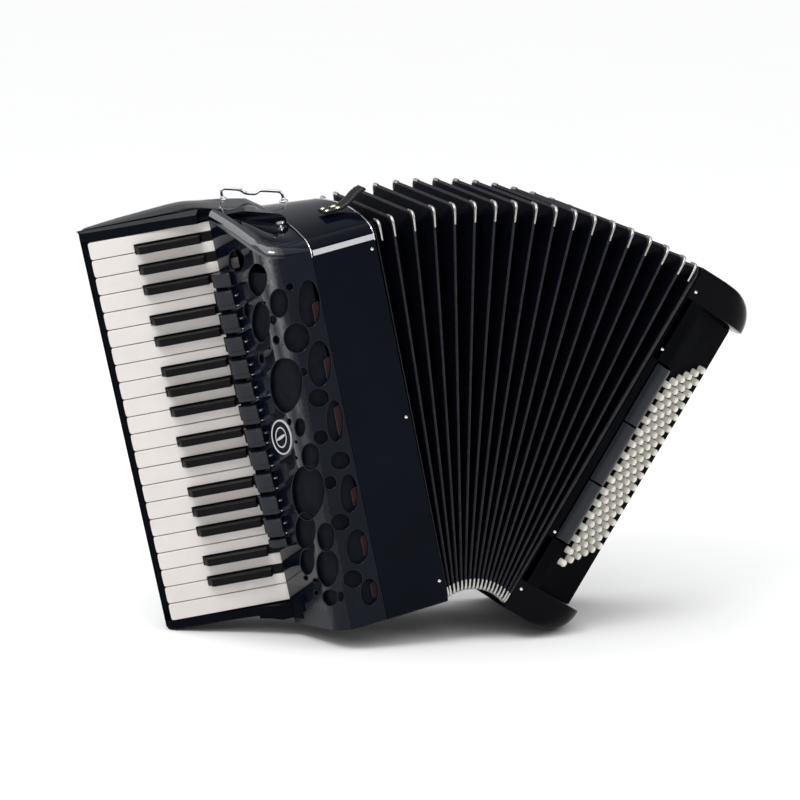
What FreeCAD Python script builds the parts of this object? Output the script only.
import FreeCAD, Part
import math
import os

V = FreeCAD.Vector
Rot = FreeCAD.Rotation
Pl = FreeCAD.Placement

doc = FreeCAD.newDocument("piano_accordion")

# ---------------------------------------------------------------- sizes (mm, degrees)
SIZES = [
    ("case_height", 416), ("case_width", 70), ("case_depth", 190), ("case_wall", 7),
    ("case_back_rise", 19),
    ("bellows_height", 408), ("bellows_depth", 186), ("bellows_closed", 60),
    ("fold_count", 17), ("fold_inset", 18), ("cloth_thickness", 1.5),
    ("fan_angle", 44.5), ("stand_tilt", 13.75), ("hinge_x", 30), ("hinge_z", -10),
    ("frame_width", 12), ("frame_band", 11),
    ("key_pitch", 19), ("key_gap", 0.6), ("white_length", 125), ("white_thickness", 9.5),
    ("tail_length", 26), ("black_front", 77.5), ("black_back", 8.5), ("black_width", 10),
    ("black_rise", 11), ("keys_low", 28), ("board_angle", 21),
    ("key_end_x", -150), ("key_end_y", -16),
    ("axle_radius", 1.2), ("axle_clearance", 0.05), ("axle_back", 18), ("axle_deep", 5),
    ("lever_size", 3.0), ("pallet_length", 38), ("pallet_width", 5.8), ("pallet_thick", 7),
    ("pallet_squeeze", 0.9), ("pallet_gap", 0.4),
    ("bed_under", 15.5), ("bed_board", 12), ("bed_beyond", 9),
    ("cheek_thick", 10),
    ("grille_wall", 3), ("mesh_thick", 0.8),
    ("register_pitch", 25), ("register_width", 21), ("register_count", 11),
    ("register_travel", 3),
    ("bass_depth_out", 99), ("bass_face", 20), ("bass_board_end", -26), ("bass_wall", 5),
    ("lobe_height", 36), ("lobe_corner", 34),
    ("board_thick", 4), ("button_radius", 4.3), ("button_hole", 4.8), ("button_pitch", 14.6),
    ("row_pitch", 12.5), ("row_skew", 7.1), ("button_proud", 10), ("button_under", 8),
    ("row_start", 17), ("button_low", 72),
    ("paddle_length", 70), ("paddle_low", 92), ("paddle_pitch", 71.5),
    ("strap_width", 60), ("strap_thick", 3.5), ("strap_gap", 16.5),
    ("wire_radius", 1.8), ("bail_span", 65), ("bail_rise", 12),
    ("pin_shank", 1.6), ("pin_head", 2.8), ("pin_proud", 1.6),
    ("bellows_strap_width", 24), ("bellows_strap_thick", 2.5),
]
sheet = doc.addObject("Spreadsheet::Sheet", "Sizes")
for row, (alias, number) in enumerate(SIZES, 1):
    sheet.set("A%d" % row, alias)
    sheet.set("B%d" % row, str(number))
    sheet.setAlias("B%d" % row, alias)
doc.recompute()


def val(alias):
    return float(sheet.get(alias))


H = val("case_height")
W = val("case_width")
D = val("case_depth") / 2.0
WALL = val("case_wall")
CLOSED = val("bellows_closed")
THETA = val("fan_angle")
ALPHA = val("stand_tilt")
MX, MZ = val("hinge_x"), val("hinge_z")
BH = val("bellows_height")
BD = val("bellows_depth") / 2.0

# ---------------------------------------------------------------- frames
# treble frame: x toward the bellows (0 is the bellows plane), y to the player, z up the case
LEAN = Pl(V(0, 0, 0), Rot(V(0, 1, 0), -ALPHA))


def fold_place(fraction):
    # plane of the bellows at a fraction of the fan, 0 on the treble side, 1 on the bass side
    a = fraction * THETA
    r = Rot(V(0, 1, 0), a)
    shift = V(MX, 0, MZ) + r.multVec(V((fraction - 0.5) * CLOSED, 0, -MZ))
    return Pl(shift, r)


BASS_LOCAL = fold_place(1.0)
KA = math.radians(val("board_angle"))


def K(u, v):
    # keyboard frame: u out along a key, v down into the keyboard
    x = val("key_end_x") - u * math.cos(KA) + v * math.sin(KA)
    y = val("key_end_y") + u * math.sin(KA) + v * math.cos(KA)
    return (x, y)


# the instrument stands on the outer lower edge of the keyboard and of the bass case
bed_low = val("keys_low") - val("cheek_thick")
foot_k = min(
    LEAN.multVec(V(K(134, v)[0], 0, bed_low)).z for v in (8, 42)
)
corner_r = val("lobe_corner")
out = val("bass_depth_out")
foot_b = 1e9
for i in range(0, 91):
    a = math.radians(i)
    p = V(out - corner_r + corner_r * math.cos(a), 0, corner_r - corner_r * math.sin(a))
    foot_b = min(foot_b, LEAN.multiply(BASS_LOCAL).multVec(p).z)
FOOT = min(foot_k, foot_b)
# the origin is in the middle of the whole, at floor level
LEFT = min(LEAN.multVec(V(K(134, v)[0], 0, z)).x for v in (8, 42) for z in (bed_low, 458))
RIGHT = -1e9
for i in range(0, 91):
    a = math.radians(i)
    p = V(out - corner_r + corner_r * math.cos(a), 0, H - corner_r + corner_r * math.sin(a))
    RIGHT = max(RIGHT, LEAN.multiply(BASS_LOCAL).multVec(p).x)
# front to back, the lower strap loop and the bass switches reach furthest
BACK_REACH = D + 14.0 + val("wire_radius")
FRONT_REACH = D + 3.5
TP = Pl(V(-(LEFT + RIGHT) / 2.0, -(BACK_REACH - FRONT_REACH) / 2.0, -FOOT), LEAN.Rotation)
BP = TP.multiply(BASS_LOCAL)
KROT = Rot(V(0, 0, 1), 180 - val("board_angle"))  # x axis runs out along a key


def kplace(u, v, z):
    x, y = K(u, v)
    return Pl(V(x, y, z), Rot(V(0, 0, 1), 180 - val("board_angle")))


# ---------------------------------------------------------------- helpers
counter = [0]


def fresh(stem):
    counter[0] += 1
    return "%s_%03d" % (stem, counter[0])


def bind(obj, prop, size):
    if isinstance(size, str):
        obj.setExpression(prop, size)
    else:
        setattr(obj, prop, size)


def S(alias):
    return "Sizes." + alias


def box(lx, ly, lz, place):
    b = doc.addObject("Part::Box", fresh("box"))
    bind(b, "Length", lx)
    bind(b, "Width", ly)
    bind(b, "Height", lz)
    b.Placement = place
    return b


def span(x0, x1, y0, y1, z0, z1):
    return box(x1 - x0, y1 - y0, z1 - z0, Pl(V(x0, y0, z0), Rot()))


def cyl(radius, length, place):
    c = doc.addObject("Part::Cylinder", fresh("cyl"))
    bind(c, "Radius", radius)
    bind(c, "Height", length)
    c.Placement = place
    return c


def fuse(objs, label=None, place=None):
    f = doc.addObject("Part::MultiFuse", fresh("fuse"))
    f.Shapes = objs
    f.Refine = True
    return finish(f, label, place)


def cut(base, tool, label=None, place=None):
    c = doc.addObject("Part::Cut", fresh("cut"))
    c.Base = base
    c.Tool = tool
    return finish(c, label, place)


def common(objs, label=None, place=None):
    c = doc.addObject("Part::MultiCommon", fresh("common"))
    c.Shapes = objs
    return finish(c, label, place)


def group(objs, label=None, place=None):
    g = doc.addObject("Part::Compound", fresh("group"))
    g.Links = objs
    return finish(g, label, place)


FINAL = []


def finish(obj, label, place):
    if label:
        obj.Label = label
        if place is not None:
            obj.Placement = place
        FINAL.append(obj)
    return obj


def prism(points, length, place):
    # closed outline on the XY plane, padded along the local z
    body = doc.addObject("PartDesign::Body", fresh("body"))
    plane = [f for f in body.Origin.OriginFeatures if f.Role == "XY_Plane"][0]
    sk = body.newObject("Sketcher::SketchObject", fresh("outline"))
    sk.AttachmentSupport = [(plane, "")]
    sk.MapMode = "FlatFace"
    n = len(points)
    for i in range(n):
        a, b = points[i], points[(i + 1) % n]
        sk.addGeometry(Part.LineSegment(V(a[0], a[1], 0), V(b[0], b[1], 0)), False)
    import Sketcher

    for i in range(n):
        sk.addConstraint(Sketcher.Constraint("Coincident", i, 2, (i + 1) % n, 1))
    pad = body.newObject("PartDesign::Pad", fresh("pad"))
    pad.Profile = sk
    bind(pad, "Length", length)
    body.Placement = place
    return body


def swing(axis_from):
    # turns local (x, y, z) of a prism into (x, z, y) so that an outline in x-z is padded along y
    return Rot(V(1, 0, 0), 90)


def prism_y(points_xz, y0, y1, extra=None):
    # outline given in x and z, padded from y1 back to y0
    place = Pl(V(0, y1, 0), Rot(V(1, 0, 0), 90))
    if extra is not None:
        place = extra.multiply(place)
    return prism(points_xz, y1 - y0, place)


def prism_x(points_yz, x0, x1):
    # outline given in y and z, padded along x
    return prism(points_yz, x1 - x0, Pl(V(x0, 0, 0), Rot(V(1, 1, 1), 120)))


def z_place(z):
    return Pl(V(0, 0, z), Rot())


# ---------------------------------------------------------------- treble case
rise = val("case_back_rise")
case_top = [
    (-D, H - 4), (-D + 4, H + 1), (-D + 12, H + 3.5), (-46, H + 9), (0, H + 12), (50, H + 9.5),
    (D - 4, H + 4), (D, H),
]
outer = prism_x([(-D, 4), (-D + 4, 0), (D - 4, 0), (D, 4)] + case_top[::-1], -W, 0)
inner = prism_x(
    [(-D + WALL, WALL), (D - WALL, WALL)]
    + [(D - WALL, H - 5), (50, H + 4), (0, H + 5.5), (-46, H + 2), (-D + WALL, H - 9)],
    -W + WALL, 1,
)
KZ = val("keys_low")
PITCH = val("key_pitch")
WHITES = 22
# distance of every black key centre below the white boundary that it covers
OCTAVE_BLACK = {0: -3.0, 1: 0.0, 2: 3.0, 4: -2.0, 5: 2.0}
top_edge = KZ + WHITES * PITCH
blacks = {}
for w in range(WHITES - 1):
    step = w % 7
    if step in OCTAVE_BLACK:
        blacks[w] = top_edge - (w + 1) * PITCH - OCTAVE_BLACK[step]
gap = val("key_gap") / 2.0
BW = val("black_width")
keys = []  # (name, kind, low edge, high edge, tail low, tail high), from the top end down
number = 0
for w in range(WHITES):
    number += 1
    hi = top_edge - w * PITCH
    lo = hi - PITCH
    tail_hi = blacks[w - 1] - BW / 2 if w - 1 in blacks else hi
    tail_lo = blacks[w] + BW / 2 if w in blacks else lo
    keys.append(("key_%02d_white" % number, "white", lo, hi, tail_lo, tail_hi))
    if w in blacks:
        number += 1
        c = blacks[w]
        keys.append(("key_%02d_black" % number, "black", c - BW / 2, c + BW / 2, c - BW / 2, c + BW / 2))


def pallet_z(z):
    return 208 + (z - 237) * val("pallet_squeeze")


slots = []
for name, kind, lo, hi, tlo, thi in keys:
    pz = pallet_z((tlo + thi) / 2)
    slots.append(span(-W - 1, -W + WALL + 1, -80, -50, pz - 2.2, pz + 2.2))
pin_z = [26, 208, 390]
pin_tools = []
for z in pin_z:
    for sign in (-1, 1):
        pin_tools.append(
            cyl(val("pin_shank") + 0.05, 24, Pl(V(-6, -D - 2 if sign < 0 else D + 2, z), Rot(V(1, 0, 0), -90 * -sign)))
        )
case_shell = cut(outer, inner)
case_slotted = cut(case_shell, group(slots))
cut(case_slotted, group(pin_tools), "treble_case", TP)

# ---------------------------------------------------------------- treble bellows frame and pins
FW, FB = val("frame_width"), val("frame_band")


def frame_ring(x0, front, tools, label, place):
    zlo, zhi = WALL + 0.3, H - 15
    ring = cut(
        span(x0, x0 + FW, front, D - WALL - 0.3, zlo, zhi),
        span(x0 - 1, x0 + FW + 1, front + FB, D - WALL - FB, zlo + FB, zhi - FB),
    )
    return cut(ring, tools, label, place)


frame_tools = []
for z in pin_z:
    for sign in (-1, 1):
        frame_tools.append(
            cyl(val("pin_shank") + 0.05, 24, Pl(V(-6, -D - 2 if sign < 0 else D + 2, z), Rot(V(1, 0, 0), -90 * -sign)))
        )
frame_ring(-FW - 0.2, -D + WALL + 0.3, group(frame_tools), "bellows_frame_treble", TP)


def pins(x, zs, reach, label, place):
    made = []
    for z in zs:
        for sign in (-1, 1):
            turn = Rot(V(1, 0, 0), -90 * -sign)
            y = sign * D
            if sign > 0:
                # at the back the pins are driven flush, so that they don't rub on the player
                made.append(cyl(S("pin_shank"), 14, Pl(V(x, y, z), turn)))
                continue
            shank = cyl(S("pin_shank"), reach + val("pin_proud"), Pl(V(x, y + sign * val("pin_proud"), z), turn))
            head = doc.addObject("Part::Cone", fresh("head"))
            head.setExpression("Radius1", S("pin_head") + " * 0.7")
            head.setExpression("Radius2", S("pin_head"))
            head.setExpression("Height", S("pin_proud"))
            head.Placement = Pl(V(x, y + sign * val("pin_proud"), z), turn)
            made.append(fuse([shank, head]))
    return group(made, label, place)


pins(-6, pin_z, 14, "bellows_pins_treble", TP)

# ---------------------------------------------------------------- treble reed blocks
blocks = []
for y in (-62, -20, 22, 62):
    blocks.append(
        prism(
            [(-W + WALL + 0.3, y - 15), (-W + WALL + 0.3, y + 15), (-18, y + 9), (-18, y - 9)],
            330, z_place(40),
        )
    )
chambers = []
for y in (-62, -20, 22, 62):
    for i in range(11):
        chambers.append(span(-W + WALL + 9, -24, y - 20, y - 4, 52 + i * 28, 52 + i * 28 + 20))
        chambers.append(span(-W + WALL + 9, -24, y + 4, y + 20, 52 + i * 28, 52 + i * 28 + 20))
cut(group(blocks), group(chambers), "treble_reed_blocks", TP)

# ---------------------------------------------------------------- keyboard bed
BU, BB = val("bed_under"), val("bed_board")
edge_u = val("white_length") + val("bed_beyond")
board_front_at_case = ((-W - 0.2 - K(0, BU)[0]) / -math.cos(KA))
bed_outer = [
    K(edge_u, BU - 2), K(edge_u - 2, BU), (-W - 0.2, K(board_front_at_case, BU)[1]), (-W - 0.2, D),
    (-159, D), (-200, D - 6), (K(edge_u, 38)[0] + 4, K(edge_u, 38)[1] + 2), K(edge_u, 36),
]
bed_inner_front = BU + BB
ib = ((-W - 0.2 - K(0, bed_inner_front)[0]) / -math.cos(KA))
bed_inner = [
    K(edge_u - 12, bed_inner_front), (-W + 1, K(ib, bed_inner_front)[1]), (-W + 1, D - 7),
    (-160, D - 7), (-203, D - 14), K(edge_u - 12, 34),
]
bed_solid = prism(bed_outer, top_edge - KZ + 2 * val("cheek_thick") + 1.2, z_place(KZ - val("cheek_thick") - 0.6))
bed_core = prism(bed_inner, H - KZ + 2, z_place(KZ + 4))
# end cheeks stand up beside the first and the last key and carry the axle
cheek = [
    K(edge_u, BU - 3), K(edge_u - 2, BU - 8), K(edge_u - 14, 3), K(90, 0), K(45, -3), K(12, -9),
    K(8, -9), K(8, -1.5), K(-40, -1.5), K(-40, BU + 2), K(60, BU + 2), K(edge_u - 1, BU + 2),
]
cheek_top = prism(cheek, val("cheek_thick"), z_place(top_edge + 0.6))
cheek_low = prism(cheek, val("cheek_thick"), z_place(KZ - 0.6 - val("cheek_thick")))
ax, ay = K(-val("axle_back"), val("axle_deep"))
axle_hole = cyl(val("axle_radius") + 0.02, top_edge - KZ + 60, Pl(V(ax, ay, KZ - 30), Rot()))
# the upper end of the bed slopes down to the top of the case
slope = prism_y(
    [(-165, top_edge + 40), (-165, top_edge + 12.5), (-150, top_edge + 11.5), (-60, H + rise - 5), (-60, top_edge + 40)],
    -130, 130,
)
bed_shell = cut(bed_solid, bed_core)
bed_all = fuse([bed_shell, cheek_top, cheek_low])
bed_all2 = cut(bed_all, slope)
cut(bed_all2, axle_hole, "keyboard_bed", TP)
axle = cyl(S("axle_radius"), top_edge - KZ + 16, Pl(V(ax, ay, KZ - 8), Rot()))
axle.Label = "key_axle"
axle.Placement = TP.multiply(axle.Placement)
FINAL.append(axle)

# ---------------------------------------------------------------- keys
LW = val("white_length")
for name, kind, lo, hi, tlo, thi in keys:
    zc = (tlo + thi) / 2
    parts = []
    # the u axis is the local x; the local y of kplace points to minus v, so depths are negative
    if kind == "white":
        plan = [
            (-val("tail_length"), tlo + gap), (val("black_front") + 1, tlo + gap),
            (val("black_front") + 1, lo + gap), (LW - 2.5, lo + gap), (LW - 0.6, lo + gap + 3),
            (LW, (lo + hi) / 2), (LW - 0.6, hi - gap - 3), (LW - 2.5, hi - gap),
            (val("black_front") + 1, hi - gap), (val("black_front") + 1, thi - gap),
            (-val("tail_length"), thi - gap),
        ]
        clean = []
        for p in plan:
            if not clean or (abs(clean[-1][0] - p[0]) > 1e-6 or abs(clean[-1][1] - p[1]) > 1e-6):
                clean.append(p)
        flat = []
        n = len(clean)
        for i in range(n):
            a, b, c = clean[i - 1], clean[i], clean[(i + 1) % n]
            if abs((b[0] - a[0]) * (c[1] - b[1]) - (b[1] - a[1]) * (c[0] - b[0])) > 1e-6:
                flat.append(b)
        turn = Pl(V(K(0, 0)[0], K(0, 0)[1], 0), Rot(V(0, 0, 1), 180 - val("board_angle"))).multiply(
            Pl(V(0, 0, 0), Rot(V(1, 0, 0), 90))
        )
        parts.append(prism(flat, S("white_thickness"), turn))
    else:
        bf, bb, br = val("black_front"), val("black_back"), val("black_rise")
        side = [(-val("tail_length"), 0), (bb, 0), (bb, -br), (bf - 5, -br), (bf, -1.5), (bf, 9.5), (-val("tail_length"), 9.5)]
        side_xy = [K(u, v) for u, v in side]
        parts.append(prism(side_xy, hi - lo - 2 * gap + 0.0, z_place(lo + gap)))
    # lever from the tail to the pallet
    sx, sy = K(-val("tail_length") + 2, 4.5)
    # the lever of the first key leaves its tail on the outer side, clear of its neighbour
    lz = zc + 1.2 if name == keys[0][0] else zc
    px = -W - val("pallet_gap") - val("pallet_thick") / 2
    py = -64.0
    # the first pallet sits a little further out, clear of the steep lever of the next key
    pz = pallet_z(zc) + (0.9 if name == keys[0][0] else 0.0)
    a = V(sx, sy, lz)
    b = V(px, py, pz)
    d = b.sub(a)
    ls = val("lever_size")
    rot = Rot(V(1, 0, 0), d)
    off = rot.multVec(V(0, -ls / 2, -ls / 2))
    parts.append(box(d.Length, S("lever_size"), S("lever_size"), Pl(a.add(off), rot)))
    pal = box(
        S("pallet_thick"), S("pallet_length"), S("pallet_width"),
        Pl(V(-W - val("pallet_gap") - val("pallet_thick"), py - val("pallet_length") / 2, pz - val("pallet_width") / 2), Rot()),
    )
    parts.append(pal)
    bore = cyl(S("axle_radius") + " + " + S("axle_clearance"), 40, Pl(V(ax, ay, zc - 20), Rot()))
    cut(fuse(parts), bore, name, TP)

# ---------------------------------------------------------------- treble grille and register switches
G = val("grille_wall")
cover_outline = [
    (-W - 0.2, -D), (-112, -D), (-118, -D + 2.5), (-121.5, -D + 7), K(-15, -22), K(-15, -6), K(6, -6), K(6, -3),
    (-W - 0.2, K((-W - 0.2 - K(0, -3)[0]) / -math.cos(KA), -3)[1]),
]
cover_core = [
    (-W + 1, -D + G), (-111, -D + G), (-116, -D + G + 2), (-118.7, -D + G + 6), K(-18.5, -21), K(-18.5, 30), (-W + 1, 20),
]


def sloped(points, z0, drop):
    body = prism(points, 520, z_place(z0))
    # sloping top, low at the front and high at the keyboard
    lid = prism_x(
        [(-140, H - 16 - drop), (-D, H - 8 - drop), (-D + 8, H - 2 - drop), (-50, H + 19 - drop), (-17, H + 40 - drop), (60, H + 60 - drop), (60, 700), (-140, 700)],
        -220, 20,
    )
    return cut(body, lid)


cover_full = sloped(cover_outline, 3, 0)
cover_hollow = sloped(cover_core, 3 + G, G)
# the cover stops short of the end cheek at the top
trim = span(-200, -60, -40, 40, top_edge + 0.4, 700)
shell = cut(cut(cover_full, cover_hollow), trim)
reg_tools = []
reg_parts = []
RP, RW = val("register_pitch"), val("register_width")
reg_mid = (KZ + top_edge) / 2 + 2
for i in range(int(val("register_count"))):
    zc = reg_mid + (5 - i) * RP
    reg_tools.append(box(5, 5, 5, kplace(-6 - 2.5, -1.5, zc - 2.5).multiply(Pl(V(0, 0, 0), Rot()))))
    side = [K(7, -9.3), K(7, -13), K(2, -18), K(-8, -21), K(-14, -21), K(-14, -9.3)]
    cap = prism(side, RW, z_place(zc - RW / 2))
    stem = prism([K(-4.5, -9), K(-4.5, -4.2), K(-7.5, -4.2), K(-7.5, -9)], 3, z_place(zc - 1.5))
    reg_parts.append(fuse([cap, stem]))
# openings of the grille: (distance along the height, place across, half height, half width)
HOLES_LEFT = []
for i, (s, z, ry, rz) in enumerate([
    (0.30, 372, 9, 20), (0.62, 352, 9, 15), (0.28, 318, 8, 22), (0.70, 300, 11, 17), (0.34, 262, 9, 22),
    (0.72, 238, 9, 15), (0.36, 205, 8, 18), (0.70, 182, 11, 17), (0.34, 150, 9, 20), (0.72, 118, 9, 16),
    (0.36, 92, 9, 18), (0.70, 62, 8, 14),
]):
    HOLES_LEFT.append((s, z, ry, rz))
lf = V(-121.5, -D + 7, 0)
lb = V(K(-15, -22)[0], K(-15, -22)[1], 0)
ldir = lb.sub(lf)
llen = ldir.Length
ldir.normalize()
lnorm = V(ldir.y, -ldir.x, 0)
if lnorm.y > 0:
    lnorm = lnorm.negative()
holes = []
for s, z, ry, rz in HOLES_LEFT:
    c = lf.add(V(ldir.x * llen * s, ldir.y * llen * s, z))
    e = doc.addObject("Part::Ellipsoid", fresh("hole"))
    e.Radius1 = 14
    e.Radius2 = rz
    e.Radius3 = ry
    # local z of the ellipsoid is radius 1, local x radius 2
    e.Placement = Pl(c, Rot(V(0, 0, 1), ldir, lnorm.negative(), "ZYX"))
    holes.append(e)
for x, z, rx, rz in [(-92, 372, 11, 14), (-96, 330, 10, 17), (-90, 285, 11, 14), (-98, 245, 9, 15), (-90, 206, 11, 15), (-97, 165, 9, 14), (-90, 128, 11, 15), (-97, 92, 9, 14), (-90, 58, 10, 12)]:
    e = doc.addObject("Part::Ellipsoid", fresh("hole"))
    e.Radius1 = 14
    e.Radius2 = rz
    e.Radius3 = rx
    e.Placement = Pl(V(x, -D, z), Rot(V(0, 0, 1), V(1, 0, 0), V(0, 1, 0), "ZYX"))
    holes.append(e)
pierced = cut(shell, group(holes))
cut(pierced, group(reg_tools), "treble_grille", TP)
group(reg_parts, "treble_register_switches", TP)

# fine mesh lining behind the openings
mt = val("mesh_thick")


def inset(dist):
    return [
        (-W - 1.2, -D + G + dist), (-110.5 + 0.1 * dist, -D + G + dist), (-115 + 0.5 * dist, -D + G + 2.4 + dist),
        (-117.6 + 0.9 * dist, -D + G + 6.6 + 0.5 * dist), (K(-19, -21)[0] + 0.95 * dist, K(-19, -21)[1] + 0.3 * dist),
    ]


mesh_outline = inset(0.5) + inset(0.5 + mt)[::-1]
prism_mesh = prism(mesh_outline, H - 44, z_place(16))
prism_mesh.Label = "grille_mesh"
prism_mesh.Placement = TP.multiply(prism_mesh.Placement)
FINAL.append(prism_mesh)

# ---------------------------------------------------------------- shoulder strap brackets
wr = val("wire_radius")


def wire(points, radius):
    made = []
    for a, b in zip(points[:-1], points[1:]):
        d = b.sub(a)
        made.append(cyl(S("wire_radius"), d.Length, Pl(a, Rot(V(0, 0, 1), d))))
    for p in points[1:-1]:
        s = doc.addObject("Part::Sphere", fresh("bend"))
        s.setExpression("Radius", S("wire_radius"))
        s.Placement = Pl(p, Rot())
        made.append(s)
    return made


def plate_foot(p, normal):
    return cyl(5.0, 1.6, Pl(p, Rot(V(0, 0, 1), normal)))


bracket_solids = []
zt = H + rise
xa, xb = -101.0, -36.0
yb = D - 12
za = top_edge + 12.5 - (xa + 165) * 0.0 - (xa + 150) * (top_edge + 11.5 - (H + rise - 5)) / 90.0 - 1.0
zb = H + 4.9


def bail_z(x):
    # the bar runs level as the instrument stands, so it falls towards the case here
    return za + val("bail_rise") + (x - xa) * (zb - za) / (xb - xa)


bail = wire(
    [V(xa, yb, za + 0.8), V(xa, yb, bail_z(xa)), V(-80, yb, bail_z(-80)), V(-76, yb, bail_z(-76) - 4.2),
     V(-64, yb, bail_z(-64) - 4.2), V(-60, yb, bail_z(-60)), V(xb, yb, bail_z(xb)), V(xb, yb, zb + 0.8)],
    wr,
)
bail += [plate_foot(V(xa, yb, za), V(0, 0, 1)), plate_foot(V(xb, yb, zb), V(0, 0, 1))]
bracket_solids.append(fuse(bail))
low = wire(
    [V(-150, D + 1.2, 44), V(-150, D + 14, 44), V(-112, D + 14, 44), V(-112, D + 1.2, 44)], wr,
)
low += [plate_foot(V(-150, D, 44), V(0, 1, 0)), plate_foot(V(-112, D, 44), V(0, 1, 0))]
bracket_solids.append(fuse(low))
group(bracket_solids, "strap_brackets", TP)

# ---------------------------------------------------------------- bellows strap, fastened to the treble case
bt = val("bellows_strap_thick")
ztop_strap = H + 11.0
strap_line = [(-34, ztop_strap), (-14, ztop_strap), (-4, ztop_strap + 4), (6, ztop_strap + 11.5), (15, ztop_strap + 14)]


def band(line, thick):
    up, down = [], []
    n = len(line)
    for i, (x, z) in enumerate(line):
        a = line[max(i - 1, 0)]
        b = line[min(i + 1, n - 1)]
        dx, dz = b[0] - a[0], b[1] - a[1]
        length = math.hypot(dx, dz)
        nx, nz = -dz / length, dx / length
        up.append((x + nx * thick, z + nz * thick))
        down.append((x, z))
    return down + up[::-1]


strap = prism_y(band(strap_line, bt), -51, -51 + val("bellows_strap_width"))
strap.Label = "bellows_strap"
strap.Placement = TP.multiply(strap.Placement)
FINAL.append(strap)

# ---------------------------------------------------------------- bellows
count = int(val("fold_count"))
CLOTH = val("cloth_thickness")
INSET = val("fold_inset")


def ring(fraction, y, zlo, zhi):
    place = TP.multiply(fold_place(fraction))
    return [place.multVec(V(0, sy * y, z)) for sy, z in ((-1, zlo), (1, zlo), (1, zhi), (-1, zhi))]


def pleats(shrink):
    rings = []
    for i in range(2 * count + 1):
        f = i / (2.0 * count)
        f = min(max(f, 0.006), 0.994)
        deep = INSET if i % 2 else 0.0
        k = deep + shrink
        rings.append(ring(f, BD - k, 4 + k, BH - k))
    return rings


faces = []


def tri(a, b, c):
    faces.append(Part.Face(Part.makePolygon([a, b, c, a])))


outer_r, inner_r = pleats(0.0), pleats(CLOTH)
for rings in (outer_r, inner_r):
    for p, q in zip(rings[:-1], rings[1:]):
        for j in range(4):
            k = (j + 1) % 4
            tri(p[j], p[k], q[k])
            tri(p[j], q[k], q[j])
for a, b in ((outer_r[0], inner_r[0]), (outer_r[-1], inner_r[-1])):
    for j in range(4):
        k = (j + 1) % 4
        tri(a[j], a[k], b[k])
        tri(a[j], b[k], b[j])
shell_b = Part.makeShell(faces)
shell_b.sewShape()
solid_b = Part.makeSolid(shell_b)
if solid_b.Volume < 0:
    solid_b.reverse()
folds = doc.addObject("Part::Feature", "bellows_folds_shape")
folds.Shape = solid_b
folds.Label = "bellows_folds"
FINAL.append(folds)

# metal guards on the four corners of every fold
guards = []
gl = 13.0
for i in range(count + 1):
    f = min(max(i / float(count), 0.02), 0.98)
    place = fold_place(f)
    for sy in (-1, 1):
        for top_side in (0, 1):
            zc = BH + 0.4 if top_side else 3.6
            sz = -1 if top_side else 1
            y = sy * (BD + 0.4)
            pts = [
                (y, zc), (y - sy * gl, zc), (y - sy * gl, zc - sz * 0.9), (y + sy * 0.9, zc - sz * 0.9),
                (y + sy * 0.9, zc + sz * gl), (y, zc + sz * gl),
            ]
            if sy * sz > 0:
                pts = pts[::-1]
            g = prism(pts, 1.6, place.multiply(Pl(V(-0.8, 0, 0), Rot(V(1, 1, 1), 120))))
            guards.append(g)
group(guards, "bellows_corner_guards", TP)

# ---------------------------------------------------------------- bass case (bass frame: x outward, z up)
OUT = val("bass_depth_out")
FACE = val("bass_face")
BEND = val("bass_board_end")
BWL = val("bass_wall")
LH = val("lobe_height")
bang = math.atan2(BEND + D, OUT - FACE)
bdir = V(math.cos(bang), math.sin(bang), 0)
bnorm = V(math.sin(bang), -math.cos(bang), 0)
blen = math.hypot(BEND + D, OUT - FACE)


def board_point(s, h):
    return (FACE + s * bdir.x + h * bnorm.x, -D + s * bdir.y + h * bnorm.y)


mid_outline = [(0, -D), (8, -D), (8, -D + 7.5), board_point(10, -8), board_point(13.5, -8), board_point(13.5, -4), board_point(blen - 1, -4), (OUT, BEND + 3), (OUT, D - 4), (OUT - 4, D), (0, D)]
lobe_outline = [(0, -D), (48, -D), (66, -D + 4), (82, -D + 14), (93, -D + 28), (OUT, -D + 48), (OUT, D - 4), (OUT - 4, D), (0, D)]
r = val("lobe_corner")
side_view = [(0, 0)]
for i in range(7):
    a = math.radians(-90 + i * 15)
    side_view.append((OUT - r + r * math.cos(a), r + r * math.sin(a)))
for i in range(7):
    a = math.radians(i * 15)
    side_view.append((OUT - r + r * math.cos(a), H - r + r * math.sin(a)))
side_view.append((0, H))
profile = prism_y(side_view, -D - 5, D + 5)
body_all = fuse([
    prism(mid_outline, H - 2 * LH + 2, z_place(LH - 1)),
    prism(lobe_outline, LH, z_place(0)),
    prism(lobe_outline, LH, z_place(H - LH)),
])
bass_outer = common([body_all, profile])
core = [
    (-1, -D + BWL), (3, -D + BWL), (3, -D + 12.5), board_point(13, -13), board_point(18, -4 - BWL), board_point(blen - 8, -4 - BWL), (OUT - BWL, BEND + 8),
    (OUT - BWL, D - BWL), (-1, D - BWL),
]
core_side = [(-2, BWL), (OUT - r * 0.75, BWL), (OUT - BWL, r * 0.75), (OUT - BWL, H - r * 0.75), (OUT - r * 0.75, H - BWL), (-2, H - BWL)]
core_solid = common([prism(core, H, z_place(0)), prism_y(core_side, -D - 5, D + 5)])
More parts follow.
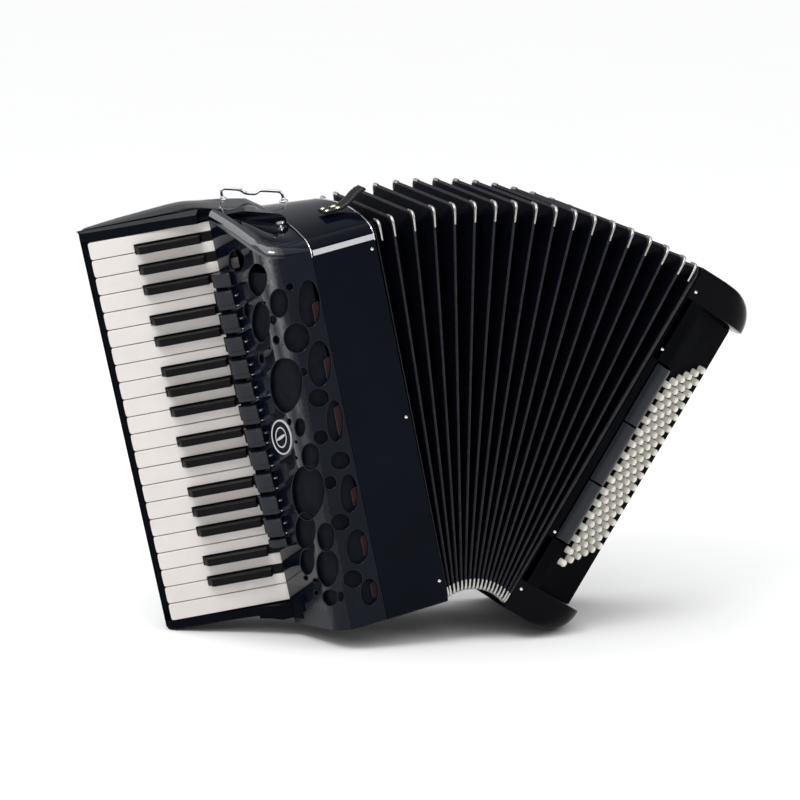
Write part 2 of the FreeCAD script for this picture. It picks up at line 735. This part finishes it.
# window behind the button board, and the finger hole of the air button
z0b, z1b = 50, H - 50
window = prism(
    [board_point(15.0, 3), board_point(15.0, -12), board_point(blen - 7, -12), board_point(blen - 7, 3)], z1b - z0b, z_place(z0b),
)
air_hole = cyl(7.6, 20, Pl(V(OUT - 12, 10, H - 62), Rot(V(0, 1, 0), 90)))
bass_pin_z = [26, 96, 320, 390]
bass_tools = []
for z in bass_pin_z:
    for sign in (-1, 1):
        bass_tools.append(
            cyl(val("pin_shank") + 0.05, 24, Pl(V(6, -D - 2 if sign < 0 else D + 2, z), Rot(V(1, 0, 0), -90 * -sign)))
        )
bass_shell = cut(bass_outer, core_solid)
bass_open = cut(bass_shell, group([window, air_hole]))
cut(bass_open, group(bass_tools), "bass_case", BP)

ring_tools = []
for z in bass_pin_z:
    for sign in (-1, 1):
        ring_tools.append(
            cyl(val("pin_shank") + 0.05, 24, Pl(V(6, -D - 2 if sign < 0 else D + 2, z), Rot(V(1, 0, 0), -90 * -sign)))
        )
frame_ring(0.2, -D + 16.0, group(ring_tools), "bellows_frame_bass", BP)
pins(6, bass_pin_z, 20, "bellows_pins_bass", BP)

# ---------------------------------------------------------------- button board and 96 buttons
BT = val("board_thick")
board = prism(
    [board_point(14, 0), board_point(14, -BT + 0.05), board_point(blen - 2, -BT + 0.05), board_point(blen - 2, 0)],
    H - 2 * LH - 1, z_place(LH + 0.5),
)
board_rot = Rot(V(0, 0, 1), math.degrees(math.atan2(bnorm.y, bnorm.x))).multiply(Rot(V(0, 1, 0), 90))
button_holes = []
rows = []
for row in range(6):
    s = val("row_start") + row * val("row_pitch") + 3
    made = []
    for i in range(16):
        z = val("button_low") + i * val("button_pitch") + row * val("row_skew")
        x, y = board_point(s, -val("button_under"))
        hx, hy = board_point(s, -BT - 4)
        button_holes.append(cyl(S("button_hole"), BT + 8, Pl(V(hx, hy, z), board_rot)))
        stem = cyl(S("button_radius"), S("button_under") + " + " + S("button_proud") + " - 1.4", Pl(V(x, y, z), board_rot))
        cx, cy = board_point(s, val("button_proud") - 1.4)
        cap = doc.addObject("Part::Cone", fresh("cap"))
        cap.setExpression("Radius1", S("button_radius"))
        cap.setExpression("Radius2", S("button_radius") + " - 1.2")
        cap.Height = 1.4
        cap.Placement = Pl(V(cx, cy, z), board_rot)
        made.append(fuse([stem, cap]))
    rows.append(made)
cut(board, group(button_holes), "bass_button_board", BP)
group(rows[0] + rows[1], "bass_note_buttons", BP)
group(rows[2] + rows[3] + rows[4] + rows[5], "chord_buttons", BP)

# ---------------------------------------------------------------- bass register switches
paddles = []
for i in range(3):
    zlo = val("paddle_low") + i * val("paddle_pitch")
    sect = [(9.2, -D - 1.5), (19, -D - 3.5), board_point(4, 5.0), board_point(10.5, 3.2), board_point(10.5, -1.0), board_point(5, -3.0), (10, -D + 0.8)]
    paddles.append(prism(sect, S("paddle_length"), z_place(zlo)))
group(paddles, "bass_register_switches", BP)

# ---------------------------------------------------------------- bass reed blocks
bass_blocks = []
for x in (22, 52):
    bass_blocks.append(
        prism([(x - 9, 14), (x + 9, 14), (x + 7, 74), (x - 7, 74)], 300, z_place(58))
    )
bass_cells = []
for x in (22, 52):
    for i in range(10):
        bass_cells.append(span(x - 20, x - 3, 22, 66, 68 + i * 28, 68 + i * 28 + 20))
cut(group(bass_blocks), group(bass_cells), "bass_reed_blocks", BP)

# ---------------------------------------------------------------- hand strap on the bass case
sg, st = val("strap_gap"), val("strap_thick")
strap_path = [(OUT + 0.2, 58), (OUT + 0.2, 74), (OUT + sg, 112), (OUT + sg, H - 112), (OUT + 0.2, H - 74), (OUT + 0.2, H - 58)]
hand = prism_y(
    [(x, z) for x, z in band([(a, b) for a, b in strap_path][::-1], st)], 28, 28 + val("strap_width"), None,
)
hand.Label = "bass_strap"
hand.Placement = BP.multiply(hand.Placement)
FINAL.append(hand)

# ---------------------------------------------------------------- air button
air = fuse([
    cyl(7.0, 10, Pl(V(OUT - 7, 10, H - 62), Rot(V(0, 1, 0), 90))),
    cyl(6.2, 1.2, Pl(V(OUT + 2.9, 10, H - 62), Rot(V(0, 1, 0), 90))),
    cyl(2.0, 14, Pl(V(OUT - 20, 10, H - 62), Rot(V(0, 1, 0), 90))),
], "air_button", BP)

# ---------------------------------------------------------------- recompute, check and write
doc.recompute()
os.makedirs("parts", exist_ok=True)
for obj in doc.Objects:
    if "Invalid" in obj.State or "Error" in obj.State:
        raise RuntimeError("%s (%s) is %s" % (obj.Name, obj.Label, obj.State))
for obj in FINAL:
    if obj.Shape.isNull() or not obj.Shape.isValid():
        raise RuntimeError("%s has no valid shape" % obj.Label)
for obj in FINAL:
    obj.Shape.exportStep("parts/%s.step" % obj.Label)
